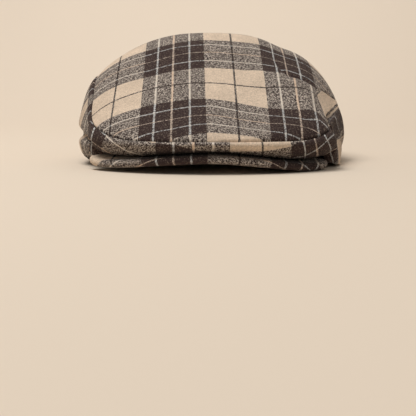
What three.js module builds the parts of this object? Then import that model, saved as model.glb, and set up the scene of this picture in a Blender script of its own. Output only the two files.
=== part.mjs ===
// A plaid wool flat cap as it lies on a table: a top panel, a front panel that turns under
// below the front seam, a left and a right side panel that meet at the back, and a stiff peak.
// Millimetres, +Z up, the front towards -Y, the origin on the table under the middle of the cap.
import * as THREE from "three";

const WALL = 2; // thickness of the wool cloth
const SEAM_GAP = 0.3; // room between two sewn edges
const PEAK_THICK = 5.8; // stiffener with its cloth on both sides
const PEAK_RISE = 2.5; // how much higher the peak's inner edge lies than its rim
const PEAK_INSET = 20; // from the rim back to the crease where the front panel is sewn on
const STEPS_PER_ROW = 5; // cloth columns between two rows of the tables below
const TOP_RINGS = 11; // rings of cloth from the middle of the top panel to its seam
const SIDE_RINGS = 8; // rings of cloth down a side panel
const PEAK_STATIONS = 14; // sections of the peak on each side of its middle
const PEAK_RIM_STEPS = 4; // facets of its rounded rim
const PANEL_SEAM_ROW = 4; // table row where the front panel ends and the side panels start
const PEAK_END_ROW = 3.4; // table row where the peak's tips lie
const DROP_END_ROW = 3.6; // table row where the cloth's lower edge has come down off the peak
const TOP_CENTRE_BACK = 130; // plan point that the top panel's rings close on
const SIDE_SAG = 1.2; // exponent that moves the side panels' swell down
const CURVE_TENSION = 0.5; // of the Catmull-Rom curves through the tables' rows
const ROW_STEP = 0.05; // rows to each side over which a direction along a panel is read
const DOWN_STEP = 0.04; // share of a side panel's height over which its slope is read

// One row for each station round the cap, from the middle of the front to the middle of the back.
// Back: distance behind the front seam; half: distance from the centre line; high: height.
// seam is the edge of the top panel, low the lower edge of the cloth below it, full how far that
// cloth stands out from a straight wall (abruptly where gradual is small), flat the share of it
// that lies on the table. Where the cloth is sewn to the peak, the peak sets its lower height.
const ROW_COLUMNS = [
  "seamBack", "seamHalf", "seamHigh", "lowBack", "lowHalf", "lowHigh", "full", "gradual", "flat",
];
const loopRow = (...values) => Object.fromEntries(ROW_COLUMNS.map((name, i) => [name, values[i]]));
const RIGHT_ROWS = [
  loopRow(0, 0, 23.5, 18, 0, 9, 11, 0.5, 0),
  loopRow(6, 40, 23.4, 23, 33, 9, 11, 0.5, 0),
  loopRow(20, 70, 24, 34, 59, 8, 11, 0.5, 0),
  loopRow(36, 88, 29, 47, 77, 6, 12, 0.6, 0),
  loopRow(56, 91, 35, 66, 100, 2, 3, 0.8, 0),
  loopRow(88, 86, 61, 84, 103.5, 0, 9.5, 0.9, 0.06),
  loopRow(125, 107.5, 52, 126, 97, 0, 13.5, 0.8, 0.13),
  loopRow(165, 99, 68, 166, 92, 0, 14, 0.5, 0.13),
  loopRow(200, 86, 75, 202, 76, 0, 18, 0.5, 0.13),
  loopRow(230, 65, 71, 233, 56, 0, 18, 0.5, 0.13),
  loopRow(246, 35, 66, 251, 30, 0, 18, 0.5, 0.13),
  loopRow(252, 0, 64, 257, 0, 0, 18, 0.5, 0.13),
];
const LEFT_ROWS = [
  RIGHT_ROWS[0],
  loopRow(6, 37, 23.4, 23, 31, 9, 11, 0.5, 0),
  loopRow(20, 66, 24.6, 34, 57, 9, 11, 0.5, 0),
  loopRow(38, 85, 31, 48, 75, 8, 11, 0.5, 0),
  loopRow(60, 93.5, 38, 67, 93, 7, 4, 0.5, 0),
  loopRow(88, 96, 54, 89, 99, 7, 10.5, 0.5, 0.06),
  loopRow(125, 98, 70, 126, 92, 0, 16, 0.5, 0.13),
  loopRow(165, 95, 75, 166, 84, 0, 18, 0.5, 0.13),
  ...RIGHT_ROWS.slice(8),
];

// The centre line of the top panel, from the front seam over the top to the back seam.
const CENTRE_LINE = [
  { back: 0, high: 23.5 },
  { back: 7, high: 30.2 },
  { back: 48, high: 53.3 },
  { back: 88, high: 78.1 },
  { back: 128, high: 102.5 },
  { back: 157, high: 110.6 },
  { back: 200, high: 104.5 },
  { back: 232, high: 85 },
  { back: 252, high: 64 },
];

// The peak, from its middle to its tip: the rim's distance behind the front seam and from the
// centre line on each side, the same for the inner edge, and the height of the underside.
const PEAK_ROWS = [
  { back: -1.5, right: 0, left: 0, innerBack: 48, innerHalf: 0, rightHigh: 7.4, leftHigh: 7.4 },
  { back: 4.8, right: 39, left: 39, innerBack: 50, innerHalf: 27, rightHigh: 4.2, leftHigh: 5.4 },
  { back: 18.5, right: 68, left: 69, innerBack: 54, innerHalf: 49, rightHigh: 0.6, leftHigh: 3 },
  { back: 35.5, right: 86, left: 89, innerBack: 60, innerHalf: 68, rightHigh: 0.3, leftHigh: 2.8 },
  { back: 56, right: 93, left: 97, innerBack: 67, innerHalf: 84, rightHigh: 3, leftHigh: 7 },
];

// How the top panel falls from its centre line to the seam: the share of the fall that is an even
// slope, with its exponent; the rest is a rounded edge. The shares differ in places.
const SLOPE = {
  share: 0.8, power: 2.3, edgePower: 12, rightFront: 0.55, rightRear: 0.75, leftRear: 0.88,
};

// Main folds: a crease over the right shoulder that turns up over the crown, with a lip in front,
// a swell behind and a dent at its inner end; and a waist in the left side panel.
const SHOULDER_FOLD = {
  back: 89, turn: 30, inner: 44, outer: 64, lip: 1, lipWidth: 6, valley: 4.5, valleyWidth: 5,
  swell: 2, swellBack: 26, swellWidth: 20, dent: 2, dentHalf: 60, dentBack: 150,
};
const SIDE_WAIST = { back: 84, width: 28, down: 0.57, share: 0.07, depth: 8 };

const rows = RIGHT_ROWS.length - 1; // table steps from front to back on one side
const loopRows = [...RIGHT_ROWS, ...LEFT_ROWS.slice(1, rows).reverse()];
const columns = loopRows.length * STEPS_PER_ROW;

// +1 on the right half of the loop of rows, -1 on the left half.
const sideOf = (row) => (row <= rows ? 1 : -1);
const bump = (distance, width) => Math.exp(-((distance / width) ** 2));
const { clamp, lerp, smoothstep } = THREE.MathUtils;

function loopCurve(pointOfRow) {
  const points = loopRows.map((row, i) => pointOfRow(row, sideOf(i)));
  return new THREE.CatmullRomCurve3(points, true, "catmullrom", CURVE_TENSION);
}

const seamCurve = loopCurve((r, s) => new THREE.Vector3(s * r.seamHalf, r.seamBack, r.seamHigh));
const lowCurve = loopCurve((r, s) => new THREE.Vector3(s * r.lowHalf, r.lowBack, r.lowHigh));
const fullCurve = loopCurve((r) => new THREE.Vector3(r.full, r.flat, r.gradual));

// The row number of a column of cloth, counted from the middle of the front: over the right side
// up to the back and on over the left side.
const rowOfColumn = (column) => column / STEPS_PER_ROW;
const wrapRow = (row) => ((row % loopRows.length) + loopRows.length) % loopRows.length;
const pointAt = (curve, row) => curve.getPoint(wrapRow(row) / loopRows.length);

// Where a loop row lies on a table that runs from the middle of the front to the back.
const tableRow = (row) => Math.min(row, loopRows.length - row);

// Direction of the seam at a row, and the level direction that points out of the cap there.
function alongAt(row) {
  return pointAt(seamCurve, row + ROW_STEP).sub(pointAt(seamCurve, row - ROW_STEP)).normalize();
}

function outwardAt(row) {
  const along = alongAt(row);
  return new THREE.Vector3(along.y, -along.x, 0).normalize();
}

// The peak's two edges on each side, each curve mirrored past the middle so that it runs smoothly
// through it.
const peakCurves = ["right", "left"].map((side) => {
  const s = side === "right" ? 1 : -1;
  const high = side + "High";
  const stations = [...PEAK_ROWS.slice(1).reverse(), ...PEAK_ROWS];
  const mirror = (j) => (j < PEAK_ROWS.length - 1 ? -s : s);
  const curve = (half, back) => new THREE.CatmullRomCurve3(
    stations.map((r, j) => new THREE.Vector3(mirror(j) * r[half], r[back], r[high])),
    false, "catmullrom", CURVE_TENSION);
  return { rim: curve(side, "back"), inner: curve("innerHalf", "innerBack") };
});

// A point of the peak's rim or inner edge, at a signed row: right of the middle is positive.
function peakPoint(edge, signedRow) {
  const last = PEAK_ROWS.length - 1;
  const curve = peakCurves[signedRow < 0 ? 1 : 0][edge];
  return curve.getPoint((Math.abs(signedRow) + last) / (2 * last));
}

// Height of the peak's top side where the cloth above is sewn to it.
function peakTopAt(signedRow) {
  const rim = peakPoint("rim", signedRow);
  const inner = peakPoint("inner", signedRow);
  const share = PEAK_INSET / rim.distanceTo(inner);
  return rim.z + PEAK_THICK + PEAK_RISE * Math.min(1, share);
}

// Height of the lower edge of the cloth: on the peak in front, down beside and behind its tips.
function lowHeight(row, freeHeight) {
  const r = tableRow(row);
  const onPeak = peakTopAt(sideOf(row) * Math.min(r, PEAK_END_ROW)) + 2 * SEAM_GAP;
  return lerp(onPeak, Math.max(freeHeight, 0), smoothstep(r, PEAK_END_ROW, DROP_END_ROW));
}

// A point of the front and side panels: down runs from 0 at the seam to 1 at the lower edge.
function sidePoint(anyRow, down) {
  const row = wrapRow(anyRow);
  const seam = pointAt(seamCurve, row);
  const low = pointAt(lowCurve, row);
  low.z = lowHeight(row, low.z);
  const { x: full, y: flat, z: gradual } = pointAt(fullCurve, row);
  const point = seam.clone().lerp(low, down);
  point.z = lerp(seam.z, low.z, Math.min(1, down / (1 - Math.max(flat, 0))));
  const w = SIDE_WAIST;
  const waist = row > rows ? bump(seam.y - w.back, w.width) * bump(down - w.down, w.share) : 0;
  const swell = Math.max(0, Math.sin(Math.PI * clamp(down, 0, 1) ** SIDE_SAG)) ** gradual;
  return point.addScaledVector(outwardAt(row), full * swell - w.depth * waist);
}

// Reads a value of a polyline of { back, ... } points by its distance behind the front seam.
function readLine(line, back, value) {
  let i = 1;
  while (i < line.length - 1 && line[i].back < back) i++;
  const [a, b] = [line[i - 1], line[i]];
  const share = clamp((back - a.back) / (b.back - a.back || 1), 0, 1);
  return lerp(a[value], b[value], share);
}

const centreCurve = new THREE.CatmullRomCurve3(
  CENTRE_LINE.map((p) => new THREE.Vector3(0, p.back, p.high)), false, "catmullrom", CURVE_TENSION);
const centreLine = centreCurve.getPoints(120).map((p) => ({ back: p.y, high: p.z }));
const seamLines = [1, -1].map((s) => {
  const line = [];
  for (let row = 0; row <= rows; row += 0.1) {
    const p = pointAt(seamCurve, s * row);
    line.push({ back: p.y, half: Math.abs(p.x), high: p.z });
  }
  return line;
});

// Change of the top panel's height by the fold over the right shoulder.
function foldHeight(x, back) {
  const f = SHOULDER_FOLD;
  const behind = back - f.back - f.turn * (1 - smoothstep(x, f.inner, f.outer));
  const lip = f.lip * bump(behind + f.lipWidth, f.lipWidth);
  const valley = f.valley * bump(behind - 1.5, f.valleyWidth);
  const swell = f.swell * bump(behind - f.swellBack, f.swellWidth) * smoothstep(x, 60, 85);
  const dent = f.dent * bump(x - f.dentHalf, 12) * bump(back - f.dentBack, 38);
  return smoothstep(x, f.inner, f.outer + 14) * (lip - valley) + swell - dent;
}

// Height of the top panel over a point of the plan, inside the seam.
function topHeight(x, back) {
  const line = seamLines[x < 0 ? 1 : 0];
  const centre = readLine(centreLine, back, "high");
  const half = Math.max(readLine(line, back, "half"), 1);
  const share = Math.min(1, Math.abs(x) / half);
  const pulled = smoothstep(x, 5, 50) * (1 - smoothstep(back, 70, 105));
  const rear = x < 0 ? SLOPE.leftRear : SLOPE.rightRear;
  const slope = lerp(SLOPE.share, SLOPE.rightFront, pulled)
    + (rear - SLOPE.share) * smoothstep(back, 95, 130);
  const fall = slope * share ** SLOPE.power + (1 - slope) * share ** SLOPE.edgePower;
  const drop = (centre - readLine(line, back, "high")) * fall;
  return centre - drop + foldHeight(x, back) * (1 - share ** 10);
}

function topPoint(row, share) {
  const seam = pointAt(seamCurve, row);
  const x = seam.x * share;
  const back = TOP_CENTRE_BACK + (seam.y - TOP_CENTRE_BACK) * share;
  return new THREE.Vector3(x, back, share === 1 ? seam.z : topHeight(x, back));
}

// Normal of a surface at(a, b), from small steps along both of its directions. For the panels,
// whose points run round the cap and outwards or down, it points into the cap.
function normalAt(at, a, b, stepA, stepB) {
  const along = at(a + stepA, b).sub(at(a - stepA, b));
  const across = at(a, b + stepB).sub(at(a, b - stepB));
  return along.cross(across).normalize();
}

// The seam between the top panel and the cloth below it, at one column: the point of the seam,
// the way into the cloth and the way down across the gap.
function seamFrame(row) {
  const point = pointAt(seamCurve, row);
  const top = normalAt(topPoint, row, 0.97, ROW_STEP, 0.02);
  const side = normalAt(sidePoint, row, 0.06, ROW_STEP, 0.05);
  const inward = top.clone().add(side).normalize();
  const down = inward.clone().cross(alongAt(row)).normalize();
  return { point, inward, down };
}

const seamFrames = Array.from({ length: columns }, (_, c) => seamFrame(rowOfColumn(c)));

function geometryOf(points, index) {
  const geometry = new THREE.BufferGeometry();
  const numbers = points.flatMap((p) => p.toArray());
  geometry.setAttribute("position", new THREE.Float32BufferAttribute(numbers, 3));
  geometry.setIndex(index);
  return geometry;
}

// A closed wall between two grids of points with the same rows and columns.
// wrap joins the last column to the first one; a row whose points all agree is a pole.
function wallGeometry(outer, inner, wrap) {
  const points = [...outer.flat(), ...inner.flat()];
  const width = outer[0].length;
  const height = outer.length;
  const outerAt = (r, c) => r * width + (c % width);
  const innerAt = (r, c) => outerAt(r, c) + width * height;
  const index = [];
  const triangle = (a, b, c) => {
    const apart = (i, j) => points[i].distanceTo(points[j]) > 1e-6;
    if (apart(a, b) && apart(b, c) && apart(c, a)) index.push(a, b, c);
  };
  const quad = (a, b, c, d) => {
    triangle(a, b, c);
    triangle(a, c, d);
  };
  const lastColumn = wrap ? width : width - 1;
  for (let r = 0; r < height - 1; r++) {
    for (let c = 0; c < lastColumn; c++) {
      quad(outerAt(r, c), outerAt(r + 1, c), outerAt(r + 1, c + 1), outerAt(r, c + 1));
      quad(innerAt(r, c), innerAt(r, c + 1), innerAt(r + 1, c + 1), innerAt(r + 1, c));
    }
  }
  const [bottom, end] = [height - 1, width - 1];
  for (let c = 0; c < lastColumn; c++) {
    quad(outerAt(bottom, c), innerAt(bottom, c), innerAt(bottom, c + 1), outerAt(bottom, c + 1));
    quad(outerAt(0, c), outerAt(0, c + 1), innerAt(0, c + 1), innerAt(0, c));
  }
  if (!wrap) {
    for (let r = 0; r < bottom; r++) {
      quad(outerAt(r, 0), innerAt(r, 0), innerAt(r + 1, 0), outerAt(r + 1, 0));
      quad(outerAt(r, end), outerAt(r + 1, end), innerAt(r + 1, end), innerAt(r, end));
    }
  }
  return geometryOf(points, index);
}

function topPanelGeometry() {
  const outer = [];
  const inner = [];
  for (let ring = 0; ring <= TOP_RINGS; ring++) {
    const share = ring / TOP_RINGS;
    outer.push([]);
    inner.push([]);
    for (let c = 0; c < columns; c++) {
      const row = rowOfColumn(c);
      if (ring === TOP_RINGS) {
        const edge = seamFrames[c];
        const start = edge.point.clone().addScaledVector(edge.down, -SEAM_GAP / 2);
        outer[ring].push(start);
        inner[ring].push(start.clone().addScaledVector(edge.inward, WALL));
        continue;
      }
      const point = topPoint(row, share);
      const inward = new THREE.Vector3(0, 0, -1);
      if (ring > 0) inward.copy(normalAt(topPoint, row, share, 0.1, 0.03));
      outer[ring].push(point);
      inner[ring].push(point.clone().addScaledVector(inward, WALL));
    }
  }
  return wallGeometry(outer, inner, true);
}

// The front or a side panel, between two columns of the loop. Its two ends keep half a gap.
function sidePanelGeometry(firstColumn, lastColumn) {
  const outer = [];
  const inner = [];
  const gapOfEnd = (c) => (c === firstColumn ? 1 : c === lastColumn ? -1 : 0);
  for (let ring = 0; ring <= SIDE_RINGS; ring++) {
    const down = ring / SIDE_RINGS;
    outer.push([]);
    inner.push([]);
    for (let c = firstColumn; c <= lastColumn; c++) {
      const row = rowOfColumn(c);
      const along = sidePoint(row + ROW_STEP, down).sub(sidePoint(row - ROW_STEP, down));
      const shift = along.setLength((gapOfEnd(c) * SEAM_GAP) / 2);
      const edge = seamFrames[((c % columns) + columns) % columns];
      const start = ring > 0 ? sidePoint(row, down) : edge.point.clone();
      const inward = edge.inward.clone();
      if (ring > 0) {
        inward.copy(normalAt(sidePoint, row, Math.min(down, 1 - DOWN_STEP), ROW_STEP, DOWN_STEP));
      } else {
        start.addScaledVector(edge.down, SEAM_GAP / 2);
      }
      outer[ring].push(start.add(shift));
      inner[ring].push(start.clone().addScaledVector(inward, WALL));
    }
  }
  return wallGeometry(outer, inner, false);
}

// The peak: its section is run from tip to tip, flat below, with a rounded rim.
function peakGeometry() {
  const radius = PEAK_THICK / 2;
  const points = [];
  for (let i = -PEAK_STATIONS; i <= PEAK_STATIONS; i++) {
    const row = (PEAK_END_ROW * i) / PEAK_STATIONS;
    const rim = peakPoint("rim", row);
    const inner = peakPoint("inner", row);
    const inward = inner.clone().sub(rim).setZ(0);
    const depth = inward.length();
    inward.normalize();
    const at = (distance, height) => {
      const z = rim.z + height + (PEAK_RISE * distance) / depth;
      return rim.clone().addScaledVector(inward, distance).setZ(z);
    };
    const section = [at(depth, 0), at(depth / 2, 0)];
    for (let k = 0; k <= PEAK_RIM_STEPS; k++) {
      const angle = (Math.PI * k) / PEAK_RIM_STEPS;
      section.push(at(radius * (1 - Math.sin(angle)), radius * (1 - Math.cos(angle))));
    }
    section.push(at(depth / 2, PEAK_THICK), at(depth, PEAK_THICK));
    points.push(section);
  }
  const size = points[0].length;
  const flat = points.flat();
  const index = [];
  for (let i = 0; i < points.length - 1; i++) {
    for (let k = 0; k < size; k++) {
      const a = i * size + k;
      const b = i * size + ((k + 1) % size);
      index.push(a, b + size, b, a, a + size, b + size);
    }
  }
  const lastStart = flat.length - size;
  for (let k = 1; k < size - 1; k++) {
    index.push(0, k, k + 1);
    index.push(lastStart, lastStart + k + 1, lastStart + k);
  }
  return geometryOf(flat, index);
}

function pieceOf(name, geometry, color) {
  const material = new THREE.MeshStandardMaterial({ color, roughness: 0.95, metalness: 0 });
  const mesh = new THREE.Mesh(geometry, material);
  mesh.name = name;
  return mesh;
}

const panelSeamColumn = PANEL_SEAM_ROW * STEPS_PER_ROW;
const backColumn = rows * STEPS_PER_ROW;

const cap = new THREE.Group();
cap.add(
  pieceOf("top_panel", topPanelGeometry(), 0x9c8b7c),
  pieceOf("front_panel", sidePanelGeometry(-panelSeamColumn, panelSeamColumn), 0x7d6c60),
  pieceOf("side_panel_right", sidePanelGeometry(panelSeamColumn, backColumn), 0x8a796b),
  pieceOf("side_panel_left", sidePanelGeometry(backColumn, columns - panelSeamColumn), 0x8a796b),
  pieceOf("peak", peakGeometry(), 0x75655a),
);

// The tables count from the front seam; the part's origin is under the middle of its box.
const box = new THREE.Box3().setFromObject(cap);
const middle = box.getCenter(new THREE.Vector3());
for (const piece of cap.children) piece.position.set(-middle.x, -middle.y, -box.min.z);

export default cap;
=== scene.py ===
"""A plaid wool flat cap lying on a pale sweep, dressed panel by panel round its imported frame.

Lengths in the tables and classes are in millimetres, as a cap maker cuts them. They are counted
from the middle of the front seam: x to the right, back away from the viewer, high above the table.
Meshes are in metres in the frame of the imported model.

The plaid is set to look right from the front. On the front panel and on the front part of the
right side panel it is stretched to do so, which shows from the side.
"""

import logging
import math
from collections.abc import Callable
from dataclasses import dataclass
from enum import Enum

import bpy
import numpy as np
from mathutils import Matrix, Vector, noise


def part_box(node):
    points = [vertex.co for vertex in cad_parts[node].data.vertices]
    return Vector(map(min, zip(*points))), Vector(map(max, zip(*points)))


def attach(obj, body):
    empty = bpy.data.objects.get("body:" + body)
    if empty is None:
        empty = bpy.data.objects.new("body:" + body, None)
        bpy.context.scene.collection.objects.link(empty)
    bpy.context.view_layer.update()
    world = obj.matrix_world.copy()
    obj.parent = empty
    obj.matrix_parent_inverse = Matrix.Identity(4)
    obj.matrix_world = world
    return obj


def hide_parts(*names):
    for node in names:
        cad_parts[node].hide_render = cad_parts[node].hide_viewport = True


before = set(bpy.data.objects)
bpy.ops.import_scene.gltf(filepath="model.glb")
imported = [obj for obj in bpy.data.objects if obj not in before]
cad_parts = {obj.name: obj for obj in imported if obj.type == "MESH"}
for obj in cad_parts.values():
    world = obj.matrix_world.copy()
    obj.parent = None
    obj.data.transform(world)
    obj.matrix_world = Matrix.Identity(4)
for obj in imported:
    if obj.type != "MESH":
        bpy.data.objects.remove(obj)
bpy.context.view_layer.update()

LOG = logging.getLogger("flat_cap")
MM = 0.001
BODY = "root"
CLOTH_MAP = "cloth"
REPEAT = 95.0  # one dark and one light stripe of the plaid

Array = np.ndarray
Triple = tuple[float, float, float]
Span = tuple[float, float]  # where a smooth step starts and where it ends


@dataclass(frozen=True)
class LoopRow:
    """One station round the cap: the seam of the top panel and the cloth's lower edge below it.

    The cloth between them stands out by full: abruptly below the seam where gradual is small. The
    lowest share of it, flat, lies level on the table.
    Where it is sewn to the peak, its lower edge keeps the peak's height instead of low_high.
    """

    seam_back: float
    seam_half: float
    seam_high: float
    low_back: float
    low_half: float
    low_high: float
    full: float
    gradual: float
    flat: float


@dataclass(frozen=True)
class GrainRow:
    """How far forward the stripes across the top panel hang, at one place from side to side.

    The columns run from the front seam back over the crown, at the places that TopPanel names.
    """

    x: float
    edge: float
    front: float
    low: float
    near: float
    middle: float
    far: float


@dataclass(frozen=True)
class PeakRow:
    """One station of the peak, from its middle to its tip: rim, inner edge and underside."""

    back: float
    right: float
    left: float
    inner_back: float
    inner_half: float
    right_high: float
    left_high: float


RIGHT_ROWS = (
    LoopRow(0, 0, 23.5, 18, 0, 9, 11, 0.5, 0),
    LoopRow(6, 40, 23.4, 23, 33, 9, 11, 0.5, 0),
    LoopRow(20, 70, 24, 34, 59, 8, 11, 0.5, 0),
    LoopRow(36, 88, 29, 47, 77, 6, 12, 0.6, 0),
    LoopRow(56, 91, 35, 66, 100, 2, 3, 0.8, 0),
    LoopRow(88, 86, 61, 84, 103.5, 0, 9.5, 0.9, 0.06),
    LoopRow(125, 107.5, 52, 126, 97, 0, 13.5, 0.8, 0.13),
    LoopRow(165, 99, 68, 166, 92, 0, 14, 0.5, 0.13),
    LoopRow(200, 86, 75, 202, 76, 0, 18, 0.5, 0.13),
    LoopRow(230, 65, 71, 233, 56, 0, 18, 0.5, 0.13),
    LoopRow(246, 35, 66, 251, 30, 0, 18, 0.5, 0.13),
    LoopRow(252, 0, 64, 257, 0, 0, 18, 0.5, 0.13),
)
LEFT_ROWS = (
    RIGHT_ROWS[0],
    LoopRow(6, 37, 23.4, 23, 31, 9, 11, 0.5, 0),
    LoopRow(20, 66, 24.6, 34, 57, 9, 11, 0.5, 0),
    LoopRow(38, 85, 31, 48, 75, 8, 11, 0.5, 0),
    LoopRow(60, 93.5, 38, 67, 93, 7, 4, 0.5, 0),
    LoopRow(88, 96, 54, 89, 99, 7, 10.5, 0.5, 0.06),
    LoopRow(125, 98, 70, 126, 92, 0, 16, 0.5, 0.13),
    LoopRow(165, 95, 75, 166, 84, 0, 18, 0.5, 0.13),
    *RIGHT_ROWS[8:],
)
CENTRE_LINE = (
    (0, 23.5), (7, 30.2), (48, 53.3), (88, 78.1), (128, 102.5),
    (157, 110.6), (200, 104.5), (232, 85), (252, 64),
)  # back and high of the top panel's middle
PEAK_ROWS = (
    PeakRow(-1.5, 0, 0, 48, 0, 7.4, 7.4),
    PeakRow(4.8, 39, 39, 50, 27, 4.2, 5.4),
    PeakRow(18.5, 68, 69, 54, 49, 0.6, 3),
    PeakRow(35.5, 86, 89, 60, 68, 0.3, 2.8),
    PeakRow(56, 93, 97, 67, 84, 3, 7),
)

GRAIN_ROWS = (
    GrainRow(-90, 1, 2, 7, 7, 6, 7),
    GrainRow(-70, 0, 0.8, 6.6, 4.9, 4, 6),
    GrainRow(-50, 2.1, 3.6, 6.1, 2.4, 2, 7),
    GrainRow(-30, 2.5, 4.5, 4.2, 1.5, 0.5, 3),
    GrainRow(-12, 2.2, 1.3, 1.7, 0.3, 0, 0.5),
    GrainRow(0, 0.8, 0, 1, 0.2, 0, 0),
    GrainRow(12, 1.4, 2.5, 3.8, 2.4, 1, 1),
    GrainRow(27, 1.7, 5.2, 7.8, 5.4, 2.6, 2),
    GrainRow(43, 1.4, 6.4, 10.5, 7.3, 2.3, 0.5),
    GrainRow(58, -2, 1.5, 9.4, 4.8, -1, -0.5),
    GrainRow(70, -6, -3, 7.4, 2, -4.5, 0),
    GrainRow(82, -10, -8, 2.3, -4, -7.5, 0),
)


@dataclass(frozen=True)
class ClothRun:
    """How much cloth lies between the front seam and a place further back on the top panel."""

    back: float
    length: float


CLOTH_RUNS = (
    ClothRun(-5, -6), ClothRun(0, 0), ClothRun(7, 9.5), ClothRun(48.4, 57.5), ClothRun(88, 104.5),
    ClothRun(128.5, 152.5), ClothRun(152, 177), ClothRun(200, 226), ClothRun(232, 264),
    ClothRun(257, 298),
)


@dataclass(frozen=True)
class FrontGrainRow:
    """How the cloth lies on the front panel, at one place from side to side.

    Across is the cloth's place half way down, lean how fast the stripes run off to the side below
    it, and high the height at which the dark stripe across the panel begins.
    """

    x: float
    across: float
    lean: float
    high: float


FRONT_GRAIN_ROWS = (
    FrontGrainRow(-100, -68, -0.3, 50),
    FrontGrainRow(-90, -55.5, -0.35, 46),
    FrontGrainRow(-82, -46.7, -0.4, 41),
    FrontGrainRow(-71, -35, -0.7, 33),
    FrontGrainRow(-60.5, -23.4, -1, 26.5),
    FrontGrainRow(-50, -11.5, -0.5, 23.8),
    FrontGrainRow(-40, 0, -0.05, 22.5),
    FrontGrainRow(-26, 12, 0, 21.5),
    FrontGrainRow(-12.7, 23.6, 0, 18),
    FrontGrainRow(1.1, 36.3, 0, 16),
    FrontGrainRow(13.1, 48.3, 0, 16),
    FrontGrainRow(37, 71.6, 0.1, 16.5),
    FrontGrainRow(58, 95, 0.15, 19.5),
    FrontGrainRow(63.3, 100.7, 0.25, 22.5),
    FrontGrainRow(68.3, 106, 0.35, 22.5),
    FrontGrainRow(77.5, 118.5, 0.3, 27.5),
    FrontGrainRow(88.5, 131.3, 0.75, 36),
    FrontGrainRow(100, 144.5, 0.5, 42),
)

SIDE_STEPS = len(RIGHT_ROWS) - 1  # table steps from the middle of the front to the back
LOOP_STEPS = 2 * SIDE_STEPS
PANEL_SEAM_ROW = 4.0  # where the front panel meets a side panel
PEAK_END_ROW = 3.4
PEAK_THICK = 5.8
PEAK_RISE = 2.5
PEAK_INSET = 20.0
SEAM_GAP = 0.3
TOP_CENTRE_BACK = 130.0


def curve_through(points: Array, at: Array, closed: bool) -> Array:
    """Reads a uniform Catmull-Rom curve.

    Args:
        points: The points it passes through, one in each row.
        at: Places along it, where a whole number is a point.
        closed: Whether the last point runs on into the first.

    Returns:
        One point for each place.
    """
    points = np.asarray(points, float)
    count = len(points)
    if not closed:
        before, after = 2 * points[0] - points[1], 2 * points[-1] - points[-2]
        points = np.vstack([before, points, after])
        at = np.clip(at, 0, count - 1 - 1e-9) + 1
        count += 2
    first = np.floor(at).astype(int)
    t = (at - first)[..., None]
    p0, p1, p2, p3 = (points[(first + k) % count] for k in (-1, 0, 1, 2))
    bend = p0 - 2.5 * p1 + 2 * p2 - 0.5 * p3
    twist = 1.5 * (p1 - p2) + 0.5 * (p3 - p0)
    return p1 + t * (0.5 * (p2 - p0) + t * (bend + t * twist))


def bump(distance: Array, width: float) -> Array:
    """A smooth hump, 1 at no distance and near 0 from two widths on."""
    return np.exp(-((distance / width) ** 2))


def ramp(value: Array, low: float, high: float) -> Array:
    """A smooth step from 0 at low to 1 at high."""
    t = np.clip((value - low) / (high - low), 0, 1)
    return t * t * (3 - 2 * t)


def unit(vectors: Array) -> Array:
    """The vectors at length 1."""
    return vectors / np.maximum(np.linalg.norm(vectors, axis=-1, keepdims=True), 1e-12)


def normals_of(points: Array) -> Array:
    """Normals of a grid of points, on the side where columns cross rows right-handed."""
    across = np.gradient(points, axis=1)
    along = np.gradient(points, axis=0)
    return unit(np.cross(across, along))


@dataclass(frozen=True)
class ShoulderFold:
    """The crease over the right shoulder: a lip in front, a valley, and a swell behind.

    It runs in from the seam and turns up over the crown, where it ends in a shallow dent.
    """

    back: float = 89.0
    turn: float = 30.0  # how much further back it lies at its inner end
    inner: float = 44.0
    outer: float = 64.0
    lip: float = 1.5
    lip_width: float = 6.0
    valley: float = 5.5
    valley_width: float = 5.0
    swell: float = 2.0
    swell_back: float = 26.0
    swell_width: float = 20.0
    swell_x: Span = (60.0, 85.0)
    dent: float = 2.0
    dent_x: float = 60.0
    dent_back: float = 150.0
    dent_half: float = 12.0
    dent_long: float = 38.0
    fade_past: float = 14.0  # how far past the outer end it still deepens
    valley_behind: float = 1.5  # how far behind the crease's line its valley lies

    def line(self, x: Array) -> Array:
        """How far back the crease lies at each x."""
        return self.back + self.turn * (1 - ramp(x, self.inner, self.outer))

    def height(self, x: Array, back: Array) -> Array:
        """Change of the top panel's height at each point of the plan."""
        near = ramp(x, self.inner, self.outer + self.fade_past)
        behind = back - self.line(x)
        lip = self.lip * bump(behind + self.lip_width, self.lip_width)
        valley = self.valley * bump(behind - self.valley_behind, self.valley_width)
        swell = self.swell * bump(behind - self.swell_back, self.swell_width)
        swell *= ramp(x, *self.swell_x)
        dent = self.dent * bump(x - self.dent_x, self.dent_half)
        dent *= bump(back - self.dent_back, self.dent_long)
        return near * (lip - valley) + swell - dent


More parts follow.
